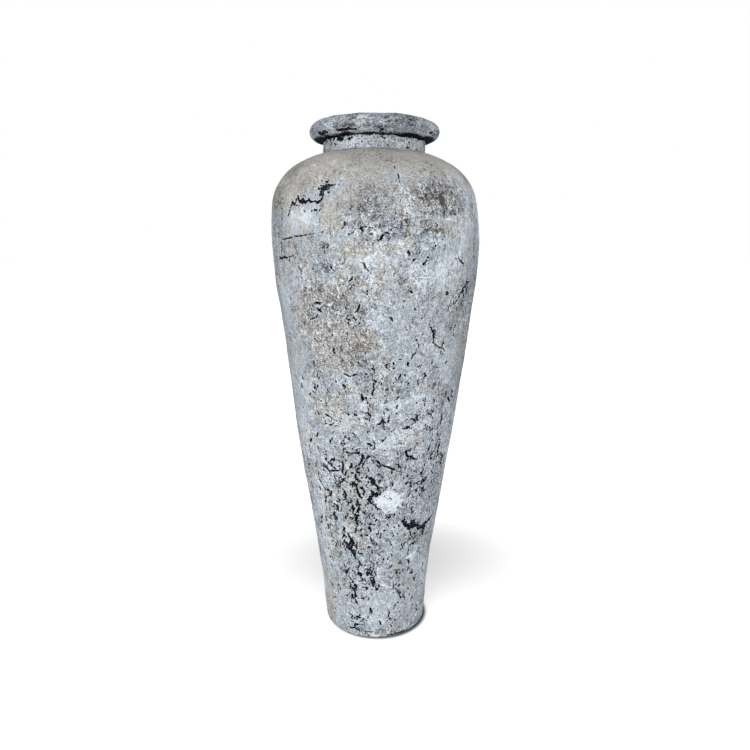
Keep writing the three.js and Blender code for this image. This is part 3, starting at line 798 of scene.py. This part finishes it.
def weathered_slip(name, base, roughness=0.92, tall=1.1):
    """Matt slip over a near-black undercoat. The fields of the mesh place the washes, stains and cracks.
    Nine noises, each with the size of its lumps in metres, tear their edges and add the brush marks, the
    flakes, the veins, the scrapes and the pits. The blots are taller than wide by the given factor."""
    finish = Finish(name, roughness)
    field, grain, mixed = finish.field, finish.grain, finish.mixed
    fine = grain(0.0022, 0.0)
    speck = grain(0.0042, 1.0, 0.6, shift=3.1, tall=tall, twist=0.6)
    blot = grain(0.013, 4.0, 0.8, shift=9.4, tall=tall, twist=0.6)
    patch = grain(0.046, 8.0, 0.8, shift=7.7, tall=1.3, twist=0.4)
    tint = grain(0.040, 6.0, 0.66, shift=2.9, tall=1.3, twist=0.6)
    streak = grain(0.0050, 2.0, shift=1.3, tall=9.0)
    curl = grain(0.009, 3.0, 0.6, shift=5.5, twist=1.2).depth()
    pit = grain(0.0085, 3.0, 0.75, shift=14.2, tall=tall, twist=0.8)
    scrape = grain(0.0075, 2.0, 0.6, shift=21.0, tall=tall, twist=1.4)
    calm = (1 - field("smooth") * 0.6) * (0.85 + tint.rise(-0.8, 0.8) * 0.4)
    torn = patch * 0.3 + blot * 0.25 + speck * 0.1
    ochre = field("ochre") + tint * 0.25 + blot * 0.15
    wash = (patch * 0.55 + blot * 0.6 + speck * 0.2) * calm + field("pale") * 0.8
    soot = field("soot")

    # Warm or cool slip, washed with mauve and ochre, and darker where it is thin, veined, run or sooty.
    warmth = (field("warm") + tint * 0.35).rise(0.15, 0.6)
    colour = mixed(warmth, base, WARM_SLIP)
    pale = mixed(warmth, PALE_SLIP, WARM_PALE)
    colour = mixed((field("mauve") + torn).rise(0.4, 0.8) * 0.7, colour, MAUVE_WASH)
    colour = mixed(ochre.rise(0.25, 1.0) * 0.65, colour, OCHRE_STAIN)
    tone = (1 - wash.rise(-0.1, -0.6) * 0.3) * (1 - wash.rise(-0.85, -1.0) * 0.4)
    runs = field("runs") + streak * 0.6
    veins = curl.rise(0.13, 0.05) * (field("mauve") + patch + blot * 0.5).rise(0.1, 0.6) * calm
    tone = tone * (1 - runs.rise(0.8, 1.3) * 0.5) * (1 - veins * 0.5) * (1 - soot.rise(0.3, 1.3) * 0.35)
    colour = finish.dimmed(tone, colour)
    # Paler where the wash lies thick.
    colour = mixed(wash.rise(0.1, 0.5) * 0.45, colour, pale)
    colour = mixed(wash.rise(0.6, 0.75) * 0.5, colour, pale)
    colour = mixed(wash.rise(0.95, 1.05) * 0.85, colour, LIME_AND_EDGE_HIGHLIGHT)
    # Brush marks, and scrapes where they crowd.
    brush = (fine * 0.35 + speck * 0.3 + streak * 0.15) * calm
    colour = finish.dimmed(1 - brush.rise(0.2, -1.2) * 0.36, colour)
    colour = mixed(brush.rise(-0.2, 1.2) * 0.48, colour, pale)
    crowded = (patch * 0.4 + blot * 0.5 + speck * 0.2).rise(-1.0, 0.6) * calm
    colour = mixed((scrape - 1.0).depth().rise(0.5, 0.15) * crowded * 0.75, colour, LIME_AND_EDGE_HIGHLIGHT)
    colour = finish.dimmed(1 - scrape.depth().rise(0.45, 0.12) * crowded * 0.75, colour)
    # White lime, broken by the brush marks.
    chalk = field("chalk") + speck * 0.3 + blot * 0.25
    colour = mixed(chalk.rise(-0.8, 0.5) * (0.42 + brush.rise(-0.9, 0.5) * 0.44), colour, CHALK)
    # Pits down to the undercoat, brown in the ochre, each with a pale edge.
    crack = field("crack")
    pits = (pit + fine * 0.15 - patch * 0.35) * calm + soot + crack.rise(-3.0, -1.0) * 0.2 + ochre * 0.3
    pit_colour = mixed(ochre.rise(0.0, 0.5), UNDERCOAT, BROWN_SOOT)
    colour = mixed(pits.rise(1.25, 1.4) * 0.25, colour, LIME_AND_EDGE_HIGHLIGHT)
    colour = mixed(pits.rise(1.5, 1.6) * 0.9, colour, pit_colour)
    # Cracks with a pale edge, which is a painted highlight, black inside, with grey flakes left in the wide
    # ones. On the neck and the lip the same black paints the shade under the lip.
    edge = crack + speck * 0.32 + fine * 0.22
    flaked = speck.rise(0.9, 2.0) * 0.4 + crack.rise(1.2, 2.6) * speck.rise(-0.8, 1.2) * 0.6
    bare = mixed(flaked, UNDERCOAT, FLAKED_GREY)
    # A painted highlight: the pale rim beside each crack, where a lifted edge would catch the light.
    colour = mixed(edge.rise(-2.2, -0.9) * 0.4, colour, LIME_AND_EDGE_HIGHLIGHT)
    colour = mixed(edge.rise(-0.5, -0.15), colour, bare)
    # The bare clay inside.
    inner = mixed(torn.rise(-0.8, 0.8), INNER_SHADE, INNER_CLAY)
    colour = mixed(field("inner"), colour, inner)
    finish.join(colour, "Base Color")
    values = {"Strength": 0.7, "Distance": 0.0005, "Height": speck * 0.6 + fine * 0.4 + blot * 0.6}
    finish.join(finish.node("ShaderNodeBump", None, values), "Normal")
    return finish.material


def placed(piece, node, material):
    """Gives a finished piece its material, and lets it stand for its node in the frame."""
    piece.data.materials.append(material)
    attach(piece, "root")
    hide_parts(node)


SLAB_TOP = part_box("foot_slab")[1].z
FOOT_EDGE = 0.005
EDGE_POINTS = 5
STANDING_RIM = 0.026
DISH = 0.003
DISH_SLOPE = 0.008
DISH_RING = 0.030  # radii of one more row of cells under the slab, and of one on top of it
TOP_RING = 0.050

edge_centre = WALL_RINGS[0, 1] - FOOT_EDGE
worn_edge = ellipse((edge_centre, FOOT_EDGE), FOOT_EDGE, -math.pi / 2, 0, EDGE_POINTS)
slab_skin = walked(np.vstack([worn_edge[:-1], between(OUTSIDE, FOOT_EDGE, SLAB_TOP, CELL)]), CELL)
under = [
    (0, DISH),
    (DISH_RING, DISH),
    (edge_centre - STANDING_RIM - DISH_SLOPE, DISH),
    (edge_centre - STANDING_RIM, 0),
    (edge_centre - STANDING_RIM / 2, 0),
]
slab_top = groove(wall_middle(SLAB_TOP), SLAB_TOP) + [(TOP_RING, SLAB_TOP), (0, SLAB_TOP)]
foot = turned("foot_slab_clay", under, slab_skin, slab_top)
placed(foot, "foot_slab", weathered_slip("foot_slip", GREY_SLIP, roughness=0.95))

# The four wall rings
# Rings of coarse clay, each raised on the last while it is stiff enough to stand. Every ring keys
# down into the groove of the piece below, and slip smeared over the joint hides it.

wall_slip = weathered_slip("wall_slip", GREY_SLIP)
low = SLAB_TOP
for ring in ("lower_wall_ring", "middle_wall_ring", "upper_wall_ring", "belt_wall_ring"):
    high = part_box(ring)[1].z
    inside = between(INSIDE, low, high, INNER_CELL)[::-1]
    piece = turned(
        ring + "_clay",
        ridge(wall_middle(low), low),
        between(OUTSIDE, low, high, CELL),
        np.vstack([groove(wall_middle(high), high), inside]),
    )
    placed(piece, ring, wall_slip)
    low = high

# The shoulder dome
# The wall closes in from the belt over a round shoulder to the flat seat that carries the neck. It is
# the last ring and the hardest to raise, because the soft clay has to carry its own overhang.

BELT_JOINT = low
MOUTH_EDGE = 0.003  # the vault stops this far short of the mouth
vault = INSIDE[(INSIDE[:, 1] > BELT_JOINT) & (INSIDE[:, 0] > BORE_RADIUS + MOUTH_EDGE)]
vault = walked(np.vstack([[radius_at(INSIDE, BELT_JOINT), BELT_JOINT], vault]), INNER_CELL)
neck_middle = NECK_RADIUS - CLAY / 2
mouth = [(BORE_RADIUS, NECK_SEAT), (BORE_RADIUS, NECK_SEAT - CLAY)]
dome = turned(
    "shoulder_dome_clay",
    ridge(wall_middle(BELT_JOINT), BELT_JOINT),
    between(OUTSIDE, BELT_JOINT, NECK_SEAT, CELL),
    np.vstack([groove(neck_middle, NECK_SEAT), mouth, vault[::-1]]),
)
placed(dome, "shoulder_dome", weathered_slip("shoulder_slip", GREY_SLIP, roughness=0.9))

# The neck collar
# A short upright ring that is thrown apart and set on the dome. Its pale slip has flaked into blotches,
# and the shadow in the angle under the lip is painted black.

NECK_SLIP = seen(158, 165, 172)
# Soft soot, and black blots of soot under the lip, written like the stains.
NECK_STAINS = [(-38, 948, 9, 8, 0.7), (-10, 950, 9, 5, 0.9), (31, 951, 8, 5, 0.8), (76, 954, 10, 16, 0.7)]
NECK_BLOTS = [
    (-38, 962, 8, 4, 1.3), (-29, 961, 5, 3, 1.1), (-17, 960, 3, 3, 1.0), (38, 955, 3, 4, 0.9),
    (52, 958, 4, 5, 0.8), (-52, 947, 5, 3, 0.9), (12, 949, 6, 2, 0.9),
]
SHADOW_LINE = 965.6  # height in millimetres at which the painted shadow under the lip starts


def neck_weather(points):
    """The neck's weather: large blotches of pale slip, a line of painted shadow that wanders by noise under
    the lip, placed blots with edges torn by noise, black flecks where noise is strong, and a thin warm line
    at the joint with the dome."""
    bent = frayed(points)
    height = points[:, 2] / MM
    cloud = clouds(bent, 0.030, 140)
    # Painted shadow of the lip: black above a line that wanders by noise, carried in the field named crack.
    band = (height - SHADOW_LINE) * 0.7 + 1.3 * noise(bent, 0.016, 150) + 0.8 * noise(bent, 0.006, 151)
    flecks = 4 * (layered(bent, 0.009, 153, 3, 0.7) - 0.95)
    blots = 6 * (stain(points, NECK_BLOTS) + 0.5 * noise(bent, 0.006, 156) - 0.8)
    joint = 1.2 - (height - NECK_SEAT / MM)
    fields = {
        "crack": np.clip(np.maximum(np.maximum(band, flecks), blots), -FIELD_LIMIT, FIELD_LIMIT),
        "warm": 0.6 * joint,
        "ochre": 0.8 * joint,
        "soot": stain(points, NECK_STAINS) + 0.6 * cloud - 0.3,
        "pale": 0.7 - 0.8 * cloud,
        "mauve": 0.3 + clouds(bent, 0.02, 160),
        "smooth": 0.0,
        "runs": 0.0,
        "chalk": -FIELD_LIMIT,
    }
    out = 0.0005 * cloud - 0.0008 * ease(-0.6, 0.9, flecks)
    return out, fields


neck = turned(
    "neck_collar_clay",
    ridge(neck_middle, NECK_SEAT),
    walked(np.array([(NECK_RADIUS, NECK_SEAT), (NECK_RADIUS, LIP_SEAT)]), CELL),
    np.vstack([groove(neck_middle, LIP_SEAT), [(BORE_RADIUS, LIP_SEAT), (BORE_RADIUS, NECK_SEAT)]]),
    neck_weather,
)
placed(neck, "neck_collar", weathered_slip("neck_slip", NECK_SLIP, tall=0.8))

# The rolled lip
# A fat roll of clay, folded over and pressed round, which finishes the mouth and gives the hands a
# hold. It is the darkest slip on the jar, blue-grey and rubbed pale in front. The shade underneath is
# painted black, with a painted highlight along the lower edge above it.

LIP_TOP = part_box("rolled_lip")[1].z
LIP_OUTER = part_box("rolled_lip")[1].x
ROLL_WIDTH = 0.043
ROLL_HEIGHT = 0.0325
ROLL_POINTS = 200
LIP_SLIP = seen(142, 150, 159)
# Rubbed pale slip, soft soot, and black blots of soot along the underside, written like the stains.
LIP_RUBBED = [(-6, 985, 14, 9, 1.3), (14, 992, 14, 6, 0.8), (34, 984, 10, 7, 0.6), (-32, 988, 8, 6, 0.4)]
LIP_SOOT = [
    (-25, 976, 9, 4, 1.5), (5, 974, 4, 3, 1.4), (17, 984, 9, 7, 0.9), (-50, 986, 12, 8, 0.8),
    (62, 984, 14, 9, 0.7), (-18, 993, 10, 5, 0.5), (44, 990, 8, 6, 0.5),
]
LIP_BLOTS = [
    (-28, 973, 8, 3, 1.4), (-17, 972, 7, 2, 1.2), (-52, 973, 8, 4, 1.2), (8, 971, 6, 2, 1.0),
    (-40, 976, 4, 3, 0.9), (62, 974, 8, 4, 0.9),
]
SHADED = 968.4  # height in millimetres below which the underside is painted black for its shade
LOWER_EDGE_HIGHLIGHT = 971.4  # height in millimetres of the painted highlight, a pale line above it
SIDE = 84  # degrees from the front at which the painted shade climbs higher up the roll


def lip_weather(points):
    """The lip's weather: painted shade, black, on the underside below a line that wanders by noise and
    climbs at the sides, placed blots with edges torn by noise, a painted highlight along the lower edge in
    front, rubbed pale slip and dark spots where they are placed, and clouds of both all round."""
    bent = frayed(points)
    turn, height = turn_and_height(points)
    cloud = clouds(bent, 0.028, 170)
    side = np.exp(-(((np.abs(turn) - SIDE) / 30) ** 2))
    # Painted shade on the underside, black below a line that climbs at the sides, carried in the field
    # named crack.
    under = (SHADED + 2.2 * side - height) * 0.6 + 1.0 * noise(bent, 0.014, 180)
    blots = 6 * (stain(points, LIP_BLOTS) + 0.5 * noise(bent, 0.006, 184) - 0.85)
    # A painted highlight: a thin pale line along the roll's lower edge, in front only.
    edge_highlight = 1.4 * (1 - side) * np.exp(-(((height - LOWER_EDGE_HIGHLIGHT) / 1.3) ** 2))
    fields = {
        "crack": np.clip(np.maximum(under, blots), -FIELD_LIMIT, FIELD_LIMIT),
        "warm": 0.6 * clouds(bent, 0.05, 190) - 0.3,
        "ochre": 0.6 * clouds(bent, 0.04, 200) - 0.6 + 1.2 * side * ease(976, 970, height),
        "soot": stain(points, LIP_SOOT) + 0.9 * cloud + 0.1,
        "pale": stain(points, LIP_RUBBED) + edge_highlight - 0.7 * cloud - 0.4,
        "mauve": 0.4 + clouds(bent, 0.02, 210),
        "smooth": 0.3,
        "runs": 0.0,
        "chalk": -FIELD_LIMIT,
    }
    out = 0.0006 * noise(points, 0.03, 220) + 0.0003 * cloud
    return out, fields


roll_radius = LIP_OUTER - ROLL_WIDTH / 2
roll_height = LIP_TOP - ROLL_HEIGHT / 2
under_turn = -math.acos((NECK_RADIUS - roll_radius) / (ROLL_WIDTH / 2))
bore_turn = math.acos((BORE_RADIUS - roll_radius) / (ROLL_WIDTH / 2))
roll_reach = (ROLL_WIDTH / 2, ROLL_HEIGHT / 2)
roll = ellipse((roll_radius, roll_height), roll_reach, under_turn, bore_turn, ROLL_POINTS)
lip = turned(
    "rolled_lip_clay",
    ridge(neck_middle, LIP_SEAT),
    walked(roll, CELL),
    [(BORE_RADIUS, (LIP_SEAT + roll[-1, 1]) / 2), (BORE_RADIUS, LIP_SEAT)],
    lip_weather,
)
placed(lip, "rolled_lip", weathered_slip("lip_slip", LIP_SLIP, tall=0.45))

# The studio
# A white floor that runs off to a white world, soft light from all round with more from the front and
# a little to the left, and the camera where the photographer stood.

FLOOR_REACH = 30
PAPER = (0.9, 0.9, 0.9, 1)
WHITE = (1, 1, 1, 1)
GLOW = 0.5  # what brings the paper up to white for the rays that see it
DIMMED = 0.42  # how much of that is held back in the middle of the soft shadow painted behind the jar
SHADOW_MIDDLE = (0.05, 0.24)
SHADOW_SIZE = (0.48, 0.30)
CONTACT_SHADOW = (0.12, 0.12, 0.13, 1)  # the contact shadow painted on the paper round the foot
CONTACT_SHADOW_MIDDLE = (0.006, -0.0025)
CONTACT_SHADOW_RADII = (0.099, 0.108)  # it fades into the paper between these
FOOT_SHADOW_MIDDLE = (0.006, 0.002)
FOOT_SHADOW_RADII = (0.099, 0.112)  # the glow begins between these, so a painted shadow rings the foot
SKY = 0.74  # strength of the light from all round
CAMERA_TILT = 11.77  # degrees down from level

floor_mesh = bpy.data.meshes.new("studio_floor")
floor_corners = [(x * FLOOR_REACH, y * FLOOR_REACH, 0) for x, y in ((-1, -1), (1, -1), (1, 1), (-1, 1))]
floor_mesh.from_pydata(floor_corners, [], [(0, 1, 2, 3)])
floor = linked("studio_floor", floor_mesh)
paper = Finish("studio_paper", roughness=1.0, shine=0)
floor_mesh.materials.append(paper.material)


def off_middle(middle, size=(1, 1)):
    """How far a place on the paper lies from a middle, with X and Y each divided by its size."""
    off = paper.place
    for operation, other in (("SUBTRACT", (*middle, 0)), ("MULTIPLY", (1 / size[0], 1 / size[1], 0))):
        off = paper.node("ShaderNodeVectorMath", {"operation": operation}, {0: off, 1: other})
    return paper.node("ShaderNodeVectorMath", {"operation": "LENGTH"}, {0: off}, "Value")


def white_rays(nodes):
    """1 for rays from the camera and for glossy and transmission rays, which see white, and 0 for the
    light that reaches the jar."""
    rays = nodes.node("ShaderNodeLightPath", output="Is Camera Ray")
    for kind in ("Is Glossy Ray", "Is Transmission Ray"):
        rays = rays.math("MAXIMUM", rays, nodes.node("ShaderNodeLightPath", output=kind))
    return rays


# Painted shadows on the paper: its colour darkens to a ring where the foot stands, and its glow is held
# back close round the foot and in a soft ellipse behind the jar, over the lamp's own shadow.
off_contact_shadow = off_middle(CONTACT_SHADOW_MIDDLE).rise(*CONTACT_SHADOW_RADII)
paper.join(paper.mixed(off_contact_shadow, CONTACT_SHADOW, PAPER), "Base Color")
shaded = 1 - off_middle(SHADOW_MIDDLE, SHADOW_SIZE).rise(0.15, 1.15)
off_foot_shadow = off_middle(FOOT_SHADOW_MIDDLE).rise(*FOOT_SHADOW_RADII)
glow = white_rays(paper) * off_foot_shadow * (GLOW - shaded * DIMMED)
paper.join(paper.dimmed(glow, WHITE), "Emission Color")
paper.shader.inputs["Emission Strength"].default_value = 1

world = bpy.data.worlds.new("studio")
bpy.context.scene.world = world
world.use_nodes = True
sky = Nodes(world.node_tree)
strength = sky.node("ShaderNodeMapRange", None, {"Value": white_rays(sky), "To Min": SKY, "To Max": 1.0})
background = sky.tree.nodes["Background"]
background.inputs["Color"].default_value = WHITE
sky.tree.links.new(strength.socket, background.inputs["Strength"])

softbox = bpy.data.lights.new("softbox", "AREA")
softbox.shape = "DISK"
softbox.size = 2.2
softbox.energy = 32
lamp = linked("softbox", softbox)
lamp.location = (-0.45, -2.5, 1.3)
lamp.rotation_euler = (math.radians(72), 0, math.radians(-10.2))

optics = bpy.data.cameras.new("camera")
optics.lens = 29.46
optics.sensor_width = 36
camera = linked("camera", optics)
camera.location = (0, -1.2121, 0.7764)
camera.rotation_euler = (math.radians(90 - CAMERA_TILT), 0, 0)
bpy.context.scene.camera = camera
bpy.context.scene.view_settings.view_transform = "Standard"
